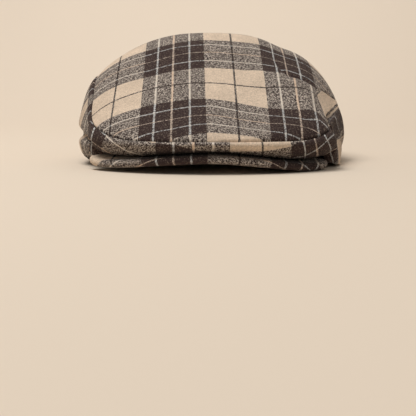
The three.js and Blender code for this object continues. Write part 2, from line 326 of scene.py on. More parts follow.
@dataclass(frozen=True)
class CapForm:
    """The cap's surfaces, as functions of the row round the cap and the share across a panel."""

    slope_share: float = 0.8
    slope_power: float = 2.3
    edge_power: float = 12.0
    right_slope_share: float = 0.55  # the same in front of the right shoulder
    rear_slope_shares: tuple[float, float] = (0.88, 0.75)  # the same behind, left and right
    side_sag: float = 1.2
    waist_back: float = 84.0
    waist_width: float = 28.0
    waist_down: float = 0.57
    waist_depth: float = 8.0
    waist_share: float = 0.07
    pulled_x: Span = (5.0, 50.0)  # over these the right side gets its own slope
    pulled_backs: Span = (70.0, 105.0)
    rear_backs: Span = (95.0, 130.0)  # over these the rear gets its own slopes
    tip_rows: float = 0.15  # how soon past the peak's tip the lower edge is free of it
    fold: ShoulderFold = ShoulderFold()

    def loop(self, value: Callable[[int, LoopRow], tuple[float, ...]]) -> Array:
        """One value from each station of the whole loop, right side first."""
        rows = [(1, r) for r in RIGHT_ROWS] + [(-1, r) for r in LEFT_ROWS[-2:0:-1]]
        return np.array([value(side, r) for side, r in rows], float)

    def seam(self, row: Array) -> Array:
        """Points of the top panel's seam."""
        table = self.loop(lambda s, r: (s * r.seam_half, r.seam_back, r.seam_high))
        return curve_through(table, np.mod(row, LOOP_STEPS), True)

    def along(self, row: Array) -> Array:
        """Direction of the seam, towards higher rows."""
        return unit(self.seam(row + 0.05) - self.seam(row - 0.05))

    def outward(self, row: Array) -> Array:
        """Level direction that points out of the cap."""
        way = self.along(row)
        return unit(np.stack([way[..., 1], -way[..., 0], 0 * way[..., 0]], -1))

    def peak_edge(self, row: Array, inner: bool) -> Array:
        """Points of the peak's rim, or of its inner edge, at signed rows, right of it positive."""
        last = len(PEAK_ROWS) - 1
        found = []
        for side in (1, -1):
            table = []
            for i in range(-last, last + 1):
                r = PEAK_ROWS[abs(i)]
                half = r.inner_half if inner else (r.right if side > 0 else r.left)
                high = r.right_high if side > 0 else r.left_high
                table.append((side * np.sign(i) * half, r.inner_back if inner else r.back, high))
            found.append(curve_through(np.array(table), np.abs(row) + last, False))
        return np.where((row < 0)[..., None], found[1], found[0])

    def low_height(self, row: Array) -> Array:
        """Height of the cloth's lower edge: on the peak in front, down beside and behind its tips."""
        row = np.mod(row, LOOP_STEPS)
        side = np.where(row <= SIDE_STEPS, 1, -1)
        near = np.minimum(row, LOOP_STEPS - row)
        at = side * np.minimum(near, PEAK_END_ROW)
        rim, inner = self.peak_edge(at, False), self.peak_edge(at, True)
        depth = np.linalg.norm(inner - rim, axis=-1)
        top = rim[..., 2] + PEAK_THICK + PEAK_RISE * np.minimum(1, PEAK_INSET / depth)
        table = self.loop(lambda s, r: (r.low_high, 0))
        free = np.maximum(curve_through(table, row, True)[..., 0], 0)
        past = ramp(near, PEAK_END_ROW, PEAK_END_ROW + self.tip_rows)
        return (top + 2 * SEAM_GAP) * (1 - past) + free * past

    def side(self, row: Array, down: Array) -> Array:
        """Points of the front and side panels: down runs from 0 at the seam to 1 at the bottom."""
        seam = self.seam(row)
        low = curve_through(
            self.loop(lambda s, r: (s * r.low_half, r.low_back, 0)), np.mod(row, LOOP_STEPS), True
        )
        low[..., 2] = self.low_height(row)
        shape = curve_through(
            self.loop(lambda s, r: (r.full, r.flat, r.gradual)), np.mod(row, LOOP_STEPS), True
        )
        share = down[..., None]
        point = seam * (1 - share) + low * share
        fall = np.minimum(1, down / (1 - np.maximum(shape[..., 1], 0)))
        point[..., 2] = seam[..., 2] * (1 - fall) + low[..., 2] * fall
        left = np.mod(row, LOOP_STEPS) > SIDE_STEPS
        near = bump(seam[..., 1] - self.waist_back, self.waist_width) * left
        waist = self.waist_depth * bump(down - self.waist_down, self.waist_share)
        swell = np.maximum(0, np.sin(np.pi * np.clip(down, 0, 1) ** self.side_sag))
        out = shape[..., 0] * swell ** shape[..., 2] - near * waist
        return point + self.outward(row) * out[..., None]

    def top_height(self, x: Array, back: Array) -> Array:
        """Height of the top panel over points of the plan."""
        line = curve_through(np.array(CENTRE_LINE), np.linspace(0, len(CENTRE_LINE) - 1, 400), False)
        centre = np.interp(back, line[:, 0], line[:, 1])
        half, high = np.empty_like(back), np.empty_like(back)
        for side in (1, -1):
            edge = self.seam(side * np.linspace(0, SIDE_STEPS, 300))
            own = (x * side) >= 0
            half = np.where(own, np.interp(back, edge[:, 1], np.abs(edge[:, 0])), half)
            high = np.where(own, np.interp(back, edge[:, 1], edge[:, 2]), high)
        share = np.minimum(1, np.abs(x) / np.maximum(half, 1))
        pulled = ramp(x, *self.pulled_x) * (1 - ramp(back, *self.pulled_backs))
        slope_share = self.slope_share + (self.right_slope_share - self.slope_share) * pulled
        rear = np.where(x < 0, *self.rear_slope_shares)
        slope_share += (rear - self.slope_share) * ramp(back, *self.rear_backs)
        fall = slope_share * share ** self.slope_power + (1 - slope_share) * share ** self.edge_power
        folded = self.fold.height(x, back) * (1 - share ** 10)
        return centre - (centre - high) * fall + folded

    def top(self, row: Array, share: Array) -> Array:
        """Points of the top panel: share runs from 0 at its middle to 1 at the seam."""
        seam = self.seam(row)
        x = seam[..., 0] * share
        back = TOP_CENTRE_BACK + (seam[..., 1] - TOP_CENTRE_BACK) * share
        high = np.where(share >= 1, seam[..., 2], self.top_height(x, back))
        return np.stack([x, back, high], -1)

    def inward(self, row: Array) -> Array:
        """Direction into the cap that halves the angle between the panels at their seam."""
        far, near = np.full_like(row, 0.96), np.full_like(row, 0.04)
        seam = self.seam(row)
        way = self.along(row)
        top = unit(np.cross(way, seam - self.top(row, far)))
        side = unit(np.cross(way, self.side(row, near) - seam))
        top *= np.where(top[..., 2:] < 0, -1, 1)
        facing = np.sum(side * self.outward(row), -1, keepdims=True)
        side *= np.where(facing < 0, -1, 1)
        return -unit(top + side)

    def middle(self) -> Vector:
        """Where the tables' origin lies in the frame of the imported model."""
        rows = np.linspace(0, LOOP_STEPS, 441)
        at, down = np.meshgrid(rows, np.linspace(0, 1, 41))
        x = self.side(at, down)[..., 0]
        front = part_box("peak")[0][1] / MM - PEAK_ROWS[0].back
        return Vector((-(x.min() + x.max()) / 2, front, 0)) * MM


class SeamEdge:
    """The profile of a cloth edge that is turned in at a seam."""

    radius = 1.5
    steps = (1.0, 0.72, 0.48, 0.28, 0.12, 0.03, 0.0)  # distances from the seam, in radii
    tails = (1.2, 2.6)  # how much deeper the turned-in edge runs

    @classmethod
    def distances(cls) -> Array:
        """Distance from the seam for each ring of the edge, outermost last."""
        return np.array([cls.radius * s for s in cls.steps] + [0.0] * len(cls.tails))

    @classmethod
    def depths(cls) -> Array:
        """Depth below the panel for each ring of the edge."""
        rolled = [cls.radius * (1 - math.sqrt(1 - (1 - s) ** 2)) for s in cls.steps]
        return np.array(rolled + [cls.radius + t for t in cls.tails])


class ClothPiece:
    """Makes the mesh of one cloth piece from a grid of points and of cloth coordinates."""

    def __init__(self, name: str, origin: Vector) -> None:
        """Names the piece and says where the tables' origin lies in the frame."""
        self.name = name
        self.origin = origin

    def from_grid(self, points: Array, cloth: Array) -> bpy.types.Object:
        """Models the piece's outer face.

        Args:
            points: Rows and columns of points, in millimetres.
            cloth: The place of each point on the uncut cloth, in millimetres.

        Returns:
            The new object, with a map that counts in repeats of the plaid.
        """
        rows, columns = points.shape[:2]
        bpy.ops.object.select_all(action="DESELECT")
        bpy.ops.mesh.primitive_grid_add(
            x_subdivisions=columns - 1, y_subdivisions=rows - 1, size=1, calc_uvs=False
        )
        piece = bpy.context.object
        piece.name = piece.data.name = self.name
        placed = points.reshape(-1, 3) * MM + np.array(self.origin)
        piece.data.vertices.foreach_set("co", placed.ravel())
        layer = piece.data.uv_layers.new(name=CLOTH_MAP)
        corner = np.empty(len(piece.data.loops), np.int32)
        piece.data.loops.foreach_get("vertex_index", corner)
        layer.uv.foreach_set("vector", (cloth.reshape(-1, 2) / REPEAT)[corner].ravel())
        piece.data.update()
        return piece

    def with_wall(self, piece: bpy.types.Object, wall: float) -> bpy.types.Object:
        """Thickens the outer face inwards, lifts what sinks below the table and smooths the shading."""
        bpy.context.view_layer.objects.active = piece
        piece.select_set(True)
        bpy.ops.object.modifier_add(type="SOLIDIFY")
        thick = piece.modifiers[-1]
        thick.thickness = wall * MM
        thick.offset = -1
        bpy.ops.object.modifier_apply(modifier=thick.name)
        place = np.empty(len(piece.data.vertices) * 3, np.float32)
        piece.data.vertices.foreach_get("co", place)
        place[2::3] = np.maximum(place[2::3], 0)
        piece.data.vertices.foreach_set("co", place)
        piece.data.update()
        bpy.ops.object.shade_smooth()
        return piece


def relief(points: Array, size: float, seed: float) -> Array:
    """Smooth random heights between about -1 and 1.

    Args:
        points: A grid of points.
        size: Width of one hump, in millimetres.
        seed: Shifts the pattern, so that no two panels are alike.

    Returns:
        One height for each point.
    """
    flat = points.reshape(-1, 3) / size + seed
    heights = [noise.noise(Vector(p)) for p in flat.tolist()]
    return np.array(heights).reshape(points.shape[:-1])


def arc_along(points: Array, axis: int) -> Array:
    """Length along a grid of points from its first row or column."""
    steps = np.linalg.norm(np.diff(points, axis=axis), axis=-1)
    zero = np.zeros_like(np.take(steps, [0], axis=axis))
    return np.concatenate([zero, np.cumsum(steps, axis=axis)], axis=axis)


@dataclass(frozen=True)
class TopPanel:
    """The one large panel of the crown, cut with its stripes along and across the cap."""

    form: CapForm
    origin: Vector
    wall: float = 1.4
    rings: int = 64
    lean: float = 0.026  # how far the stripes along the cap run off to the left
    right_ease: float = 0.028  # how much the stripes along the cap open out on the right
    left_round: float = 0.03  # how much more cloth the rounder left side takes
    right_ease_backs: Span = (0.0, 80.0)
    left_half: float = 80.0  # x, on the left, at which left_round counts in full
    left_ease: float = 2.1  # cloth eased in on the left, most of it near the front seam
    left_ease_x: Span = (5.0, 52.0)
    left_ease_backs: Span = (0.0, 130.0)
    left_ease_loss: float = 0.5  # share of that ease that is gone at the back
    first_dark_x: float = -51.4
    first_dark_back: float = 9.5
    fold_shift: float = 4.0  # cloth taken up sideways behind the shoulder fold
    fold_shift_behind: Span = (-2.0, 6.0)
    fold_shift_x: Span = (48.0, 70.0)
    grain_backs: tuple[float, ...] = (7.0, 16.0, 34.0, 48.0)  # of edge, front, low and near
    middle_backs: Span = (50.0, 68.0)
    far_backs: Span = (72.0, 88.0)
    wave: float = 0.8
    ripple: float = 0.28

    def build(self) -> bpy.types.Object:
        """Models the panel, with its edge turned in all round."""
        edge, depths = SeamEdge.distances(), SeamEdge.depths()
        last = self.rings + len(edge) - 1
        i, j = np.meshgrid(np.arange(-last, last + 1), np.arange(-last, last + 1))
        ring = np.maximum(np.abs(i), np.abs(j))
        row = self.turn(i, j) / (2 * math.pi) * LOOP_STEPS
        reach = self.reach(row)
        outer = np.clip(ring - self.rings, 0, len(edge) - 1)
        flat = ring / self.rings * (1 - (edge[0] + SEAM_GAP / 2) / reach)
        rolled = 1 - (edge[outer] + SEAM_GAP / 2) / reach
        share = np.where(ring < self.rings, flat, rolled)
        points = self.form.top(row, share)
        cloth = self.cloth(points[..., 0], points[..., 1])
        depth = depths[outer] * (ring >= self.rings)
        points += normals_of(points) * (self.wrinkles(points) * (1 - share ** 16))[..., None]
        points += self.form.inward(row) * depth[..., None]
        maker = ClothPiece("top_panel_cloth", self.origin)
        return maker.with_wall(maker.from_grid(points, cloth), self.wall)

    @staticmethod
    def turn(i: Array, j: Array) -> Array:
        """Angle round the cap of each cell of a square grid, from its front over its right."""
        wide = np.abs(i) >= np.abs(j)
        with np.errstate(divide="ignore", invalid="ignore"):
            across = np.where(wide, j / i, i / j)
        across = np.nan_to_num(across) * math.pi / 4
        to_right = np.where(wide, np.where(i > 0, 0, math.pi) + across, 0)
        to_back = np.where(j > 0, math.pi / 2, -math.pi / 2) - across
        return np.where(wide, to_right, to_back) + math.pi / 2

    def reach(self, row: Array) -> Array:
        """Length of cloth that one whole share stands for, close to the seam."""
        near = self.form.top(row, np.full_like(row, 0.98))
        return np.linalg.norm(self.form.seam(row) - near, axis=-1) / 0.02

    def wrinkles(self, points: Array) -> Array:
        """Height of the soft waves of worn wool."""
        broad = relief(points, 55, 3.1) * self.wave
        small = relief(points, 17, 8.7) * self.ripple
        return broad + small

    def cloth(self, x: Array, back: Array) -> Array:
        """Place of each point on the uncut cloth, from where it lies in the plan."""
        backs, lengths = [run.back for run in CLOTH_RUNS], [run.length for run in CLOTH_RUNS]
        along = np.interp(back + self.hang(x, back), backs, lengths)
        behind = ramp(back - self.form.fold.line(x), *self.fold_shift_behind)
        behind *= ramp(x, *self.fold_shift_x)
        across = x + self.lean * back + self.fold_shift * behind
        opened = ramp(back, *self.right_ease_backs) * (1 - behind)
        across -= self.right_ease * np.maximum(x, 0) * opened
        across += self.left_round * np.minimum(x, 0) * (x / self.left_half) ** 2
        kept = 1 - self.left_ease_loss * ramp(back, *self.left_ease_backs)
        across += self.left_ease * ramp(-x, *self.left_ease_x) * kept
        return np.stack([across - self.first_dark_x, along - self.first_dark_back], -1)

    def hang(self, x: Array, back: Array) -> Array:
        """How far forward the stripes across the panel hang at each point of the plan."""
        at = [row.x for row in GRAIN_ROWS]
        columns = [
            np.interp(x, at, [getattr(row, key) for row in GRAIN_ROWS])
            for key in ("edge", "front", "low", "near")
        ]
        middle, far = (
            np.interp(x, at, [getattr(row, key) for row in GRAIN_ROWS]) for key in ("middle", "far")
        )
        hang = columns[0]
        for k, start in enumerate(self.grain_backs[:-1]):
            share = np.clip((back - start) / (self.grain_backs[k + 1] - start), 0, 1)
            hang = hang + (columns[k + 1] - columns[k]) * share
        hang = hang + (middle - columns[-1]) * ramp(back, *self.middle_backs)
        return hang + (far - middle) * ramp(back, *self.far_backs)


@dataclass(frozen=True)
class WallPanel:
    """A panel below the top panel's seam, between two rows round the cap."""

    name: str
    form: CapForm
    origin: Vector
    first_row: float
    last_row: float
    columns: int
    rows: int
    seed: float
    wall: float = 1.4
    wave: float = 0.5
    ripple: float = 0.25

    def build(self) -> bpy.types.Object:
        """Models the panel, with its edge turned in at the seams and plain at the bottom."""
        edge, depths = SeamEdge.distances(), SeamEdge.depths()
        rows_at, row_depth = self.spaced(self.columns, edge, depths, both=True)
        downs_at, down_depth = self.spaced(self.rows, edge, depths, both=False)
        high = self.height()
        length = self.length()
        start = self.first_row + rows_at[:, 0] * (self.last_row - self.first_row)
        row = start + rows_at[:, 1] * (self.last_row - self.first_row) / length
        row, share = np.meshgrid(row, downs_at[:, 0])
        down = share + np.broadcast_to(downs_at[:, 1:], share.shape) / high
        down = np.clip(down, 0, 1)
        points = self.form.side(row, down)
        cloth = self.cloth(row, points)
        normal = normals_of(points)
        facing = np.sum(normal * self.form.outward(row), -1)
        normal *= np.where(np.median(facing) < 0, -1, 1)
        near_seam = ramp(down, 0.0, 0.1)
        points += normal * (self.wrinkles(points) * near_seam)[..., None]
        depth_row = np.broadcast_to(row_depth[None, :], row.shape)
        depth_down = np.broadcast_to(down_depth[:, None], row.shape)
        at_top = (depth_down > depth_row)[..., None]
        inward = np.where(at_top, self.form.inward(row), -normal)
        points += inward * np.maximum(depth_row, depth_down)[..., None]
        maker = ClothPiece(self.name, self.origin)
        return maker.with_wall(maker.from_grid(points[::-1], cloth[::-1]), self.wall)

    def spaced(self, steps: int, edge: Array, depths: Array, both: bool) -> tuple[Array, Array]:
        """Places of the grid's lines across the panel.

        Args:
            steps: Number of even steps between the turned-in edges.
            edge: Distances of an edge's rings from its seam.
            depths: Depths of those rings.
            both: Whether the far end has a turned-in edge too.

        Returns:
            Rows of a share and a distance from it in millimetres, and the depth of each line.
        """
        gap = SEAM_GAP / 2
        lines = [(0.0, d + gap, deep) for d, deep in zip(edge[::-1], depths[::-1])]
        for i in range(1, steps):
            t = i / steps
            first = (edge[0] + gap) * (1 - t)
            last = -(edge[0] + gap) * t if both else 0.0
            lines.append((t, first + last, 0.0))
        if both:
            lines += [(1.0, -d - gap, deep) for d, deep in zip(edge, depths)]
        else:
            lines.append((1.0, 0.0, 0.0))
        table = np.array(lines)
        return table[:, :2], table[:, 2]

    def length(self) -> float:
        """Length of the panel's seam to the top panel."""
        rows = np.linspace(self.first_row, self.last_row, 200)
        return float(arc_along(self.form.seam(rows)[None], 1)[0, -1])

    def height(self) -> float:
        """Length of cloth that one whole share down stands for, close to the seam."""
        row = np.linspace(self.first_row, self.last_row, 30)
        near = self.form.side(row, np.full_like(row, 0.02))
        return float(np.median(np.linalg.norm(near - self.form.seam(row), axis=-1)) / 0.02)

    def wrinkles(self, points: Array) -> Array:
        """Height of the soft waves of worn wool."""
        return relief(points, 40, self.seed) * self.wave + relief(points, 13, 9.0) * self.ripple

    def measured(self, row: Array, points: Array, start_row: float) -> tuple[Array, Array]:
        """Length along the seam from a row, and length down from the seam, of each point."""
        rows = np.linspace(self.first_row, self.last_row, 400)
        length = arc_along(self.form.seam(rows)[None], 1)[0]
        along = np.interp(row, rows, length) - np.interp(start_row, rows, length)
        return along, arc_along(points, 0)

    def cloth(self, row: Array, points: Array) -> Array:
        """Place of each point on the uncut cloth."""
        raise NotImplementedError


@dataclass(frozen=True)
class FrontPanel(WallPanel):
    """The narrow panel under the front seam, which wraps both front corners.

    Its plaid is placed by where it lies as seen from the front, so it is stretched where the panel
    turns away from there.
    """

    half_way: float = 19.0  # height at which the table gives the cloth's place

    def cloth(self, row: Array, points: Array) -> Array:
        """Place of each point on the uncut cloth, from where it lies as seen from the front."""
        x, high = points[..., 0], points[..., 2]
        at = [grain.x for grain in FRONT_GRAIN_ROWS]
        across, lean, start = (
            np.interp(x, at, [getattr(grain, key) for grain in FRONT_GRAIN_ROWS])
            for key in ("across", "lean", "high")
        )
        return np.stack([across - lean * (self.half_way - high), start - high], -1)


@dataclass(frozen=True)
class SidePanel(WallPanel):
    """A side panel, from the front panel's corner seam to the seam in the middle of the back."""

    corner_row: float = PANEL_SEAM_ROW
    grain: float = 0.0  # angle between the seam and the stripes across, in degrees, in front
    rear_grain: float = 0.0
    grain_turn: Span = (40.0, 110.0)  # length along the seam over which the rear grain is reached
    across_start: float = 0.0
    down_start: float = 0.0

    def cloth(self, row: Array, points: Array) -> Array:
        """Place of each point on the uncut cloth, turned by the grain's angle."""
        along, below = self.measured(row, points, self.corner_row)
        steps = np.linspace(0, np.abs(along).max(), 300)
        turned = ramp(steps, *self.grain_turn)
        turn = np.radians(self.grain + (self.rear_grain - self.grain) * turned)
        size = steps[1]
        seam_across = np.concatenate([[0], np.cumsum(np.cos(turn[1:]) * size)])
        seam_deep = -np.concatenate([[0], np.cumsum(np.sin(turn[1:]) * size)])
        along = np.abs(along)
        angle = np.interp(along, steps, turn)
        across = np.interp(along, steps, seam_across) + below * np.sin(angle)
        deep = np.interp(along, steps, seam_deep) + below * np.cos(angle)
        return np.stack([across - self.across_start, deep - self.down_start], -1)


@dataclass(frozen=True)
class GatheredSidePanel(SidePanel):
    """The left side panel: near its front corner the plaid is squeezed, in place of a gather."""

    gather_start: float = 24.0
    gather_end: float = 39.0
    hidden: float = 31.7  # how much more cloth is squeezed in between them

    def cloth(self, row: Array, points: Array) -> Array:
        """Place of each point on the uncut cloth, squeezed between the gather's ends."""
        plain = super().cloth(row, points)
        along = np.abs(self.measured(row, points, self.corner_row)[0])
        share = (along - self.gather_start) / (self.gather_end - self.gather_start)
        plain[..., 0] -= self.hidden * (1 - np.clip(share, 0, 1))
        return plain


@dataclass(frozen=True)
class BandRow:
    """Where the cloth lies in the band over the tuck: height above the tuck, and place down."""

    above: float
    deep: float


UPPER_BAND = (BandRow(-1, 74.6), BandRow(6, 69), BandRow(17.7, 48), BandRow(70, -46))


@dataclass(frozen=True)
class TuckedSidePanel(SidePanel):
    """The right side panel, with the plaid of its front part set in three bands.

    The bands are placed by how they look from the front, where this part is nearly edge-on. Two of
    them are stretched along the panel, up to five times, and that shows from the side.
    """

    tuck_high: float = 26.0
    tuck_climb: float = 0.16  # how fast the tuck rises towards the back
    second_high: float = 21.0
    free_rows: Span = (5.8, 7.8)  # over these the bands pass into evenly laid cloth
    soft: float = 0.7  # half the height over which one band of cloth passes into the next
    over: tuple[float, float] = (52.0, 0.2)  # each band: its place, and cloth per length along it
    between: tuple[float, float] = (24.4, 0.27)
    under: tuple[float, float] = (43.5, 0.8)
    lower_deep: tuple[float, float] = (133.8, -0.6)  # place down of both lower bands, and pace
    lip: float = 1.2
    lip_width: float = 3.0
    hollow: float = 2.2
    hollow_above: float = 1.0
    hollow_width: float = 1.8
    crumpled_backs: Span = (84.0, 108.0)  # over these the lip and the hollow fade out

    def above_tuck(self, points: Array) -> Array:
        """Height of each point above the tuck."""
        return points[..., 2] - self.tuck_high - self.tuck_climb * points[..., 1]

    def cloth(self, row: Array, points: Array) -> Array:
        """Place of each point on the uncut cloth, different above and below the tuck."""
        plain = super().cloth(row, points)
        along = self.measured(row, points, self.corner_row)[0]
        above = self.above_tuck(points)
        upper_deep = np.interp(above, [r.above for r in UPPER_BAND], [r.deep for r in UPPER_BAND])
        lower_deep = self.lower_deep[0] + self.lower_deep[1] * above
        over, between, under = (
            np.stack([start + pace * along, deep], -1)
            for (start, pace), deep in (
                (self.over, upper_deep), (self.between, lower_deep), (self.under, lower_deep)
            )
        )
        high = points[..., 2] - self.second_high
        tucked = under + (between - under) * ramp(high, -self.soft, self.soft)[..., None]
        tucked += (over - tucked) * ramp(above, -self.soft, self.soft)[..., None]
        return tucked + (plain - tucked) * ramp(row, *self.free_rows)[..., None]

    def wrinkles(self, points: Array) -> Array:
        """The soft waves, with the lip of the tuck and the hollow above it."""
        above = self.above_tuck(points)
        near = 1 - ramp(points[..., 1], *self.crumpled_backs)
        lip = self.lip * bump(above + self.lip_width, self.lip_width)
        hollow = self.hollow * bump(above - self.hollow_above, self.hollow_width)
        return super().wrinkles(points) + near * (lip - hollow)


@dataclass(frozen=True)
class Peak:
    """The stiff peak: a curved board in the same wool, its rim rounded and its tips closed."""

    form: CapForm
    origin: Vector
    stations: int = 90
    rim_steps: int = 10
    flat_steps: int = 16
    first_dark_x: float = -51.0
    first_dark_back: float = -19.0
    ripple: float = 0.25
    rippled_heights: Span = (1.0, 3.0)  # the underside stays smooth below these

    def build(self) -> bpy.types.Object:
        """Models the board as a closed skin round its section."""
        row = PEAK_END_ROW * np.linspace(-1, 1, 2 * self.stations + 1)
        rim, inner = self.form.peak_edge(row, False), self.form.peak_edge(row, True)
        inward = (inner - rim) * (1, 1, 0)
        depth = np.linalg.norm(inward, axis=-1)
        inward = unit(inward)
        section = self.section(depth)
        distance, height, arc = (section[..., k] for k in range(3))
        rise = PEAK_RISE * distance / depth
        points = rim[None] + inward[None] * distance[..., None]
        points[..., 2] = rim[None, :, 2] + height + rise
        plan = rim[None, :, :2] - inward[None, :, :2] * arc[..., None]
        cloth = np.stack([plan[..., 0] - self.first_dark_x, plan[..., 1] - self.first_dark_back], -1)
        bulge = relief(points, 14, 4.4) * self.ripple
        points[..., 2] += bulge * ramp(height, *self.rippled_heights)
        maker = ClothPiece("peak_cloth", self.origin)
        piece = maker.from_grid(points, cloth)
        return self.closed(piece)

    def section(self, depth: Array) -> Array:
        """The board's outline at each station, from its lower inner edge round to the upper one.

        Args:
            depth: Distance from the rim to the inner edge at each station.

        Returns:
            Distance from the rim, height and length of cloth out from the rim, for each point.
        """
        radius = PEAK_THICK / 2
        lines = []
        for i in range(self.flat_steps, 0, -1):
            run = radius + (depth - radius) * i / self.flat_steps
            lines.append((run, 0 * run, (math.pi - 2) * radius + run))
        for k in range(self.rim_steps + 1):
            angle = math.pi * k / self.rim_steps
            out = radius * (1 - math.sin(angle))
            rise = radius * (1 - math.cos(angle))
            arc = radius * (math.pi - angle)
            lines.append((out + 0 * depth, rise + 0 * depth, arc - radius + 0 * depth))
        for i in range(1, self.flat_steps + 1):
            run = radius + (depth - radius) * i / self.flat_steps
            lines.append((run, PEAK_THICK + 0 * run, -run))
        return np.stack([np.stack(line, -1) for line in lines])

    def closed(self, piece: bpy.types.Object) -> bpy.types.Object:
        """Bridges the two long edges at the inner side and fills the tips."""
        bpy.ops.object.mode_set(mode="EDIT")
        bpy.ops.mesh.select_all(action="DESELECT")
        bpy.ops.mesh.select_non_manifold()
        bpy.ops.mesh.edge_face_add()
        bpy.ops.mesh.quads_convert_to_tris()
        bpy.ops.mesh.select_all(action="SELECT")
        bpy.ops.mesh.normals_make_consistent(inside=False)
        bpy.ops.object.mode_set(mode="OBJECT")
        bpy.ops.object.shade_smooth_by_angle(angle=math.radians(50))
        return piece


class Yarn(Enum):
    """The dyed yarns of the cloth, as sRGB colours."""

    DARK = (0.21, 0.158, 0.152)
    LIGHT = (0.81, 0.732, 0.65)
    WHITE = (0.80, 0.765, 0.72)
    BEIGE = (0.80, 0.70, 0.61)
    BLACK = (0.20, 0.17, 0.165)

    def linear(self) -> tuple[float, float, float, float]:
        """The colour as Blender's sockets take it."""
        return (*(((c + 0.055) / 1.055) ** 2.4 for c in self.value), 1.0)


@dataclass(frozen=True)
class Stripe:
    """A run of threads of one yarn, and whether it is a thin line that lies on top."""

    width: float
    yarn: Yarn
    line: bool = False


WARP_ORDER = (
    Stripe(10.2, Yarn.DARK), Stripe(1.5, Yarn.WHITE, True), Stripe(11.1, Yarn.DARK),
    Stripe(1.4, Yarn.BEIGE, True), Stripe(11.5, Yarn.DARK), Stripe(1.5, Yarn.WHITE, True),
    Stripe(11.1, Yarn.DARK), Stripe(22.4, Yarn.LIGHT), Stripe(1.4, Yarn.BLACK, True),
    Stripe(22.9, Yarn.LIGHT),
)
WEFT_ORDER = (
    Stripe(11.0, Yarn.DARK), Stripe(1.1, Yarn.WHITE, True), Stripe(12.5, Yarn.DARK),
    Stripe(0.9, Yarn.BEIGE, True), Stripe(12.1, Yarn.DARK), Stripe(1.1, Yarn.WHITE, True),
    Stripe(9.3, Yarn.DARK), Stripe(22.8, Yarn.LIGHT), Stripe(1.3, Yarn.BLACK, True),
    Stripe(22.9, Yarn.LIGHT),
)


class NodeBench:
    """Adds nodes to one tree and links them."""

    def __init__(self, tree: bpy.types.NodeTree) -> None:
        """Works on the tree."""
        self.tree = tree

    def node(self, kind: str, **settings: object) -> bpy.types.Node:
        """A new node with its settings."""
        made = self.tree.nodes.new(kind)
        for key, value in settings.items():
            setattr(made, key, value)
        return made

    def put(self, socket: bpy.types.NodeSocket, value: object) -> None:
        """Links an output to the socket, or sets its number."""
        if isinstance(value, bpy.types.NodeSocket):
            self.tree.links.new(value, socket)
        else:
            socket.default_value = value

    def math(self, operation: str, *values: object, clamp: bool = False) -> bpy.types.NodeSocket:
        """The result of a Math node."""
        made = self.node("ShaderNodeMath", operation=operation, use_clamp=clamp)
        for socket, value in zip(made.inputs, values):
            self.put(socket, value)
        return made.outputs[0]

    def noise(self, vector: object, scale: float, detail: float = 2.0) -> bpy.types.NodeSocket:
        """A noise between 0 and 1."""
        made = self.node("ShaderNodeTexNoise", noise_dimensions="3D")
        self.put(made.inputs["Vector"], vector)
        made.inputs["Scale"].default_value = scale
        made.inputs["Detail"].default_value = detail
        return made.outputs["Fac"]

    def mix(self, share: object, first: object, second: object) -> bpy.types.NodeSocket:
        """Two colours mixed."""
        made = self.node("ShaderNodeMix", data_type="RGBA")
        self.put(made.inputs[0], share)
        self.put(made.inputs[6], first)
        self.put(made.inputs[7], second)
        return made.outputs[2]


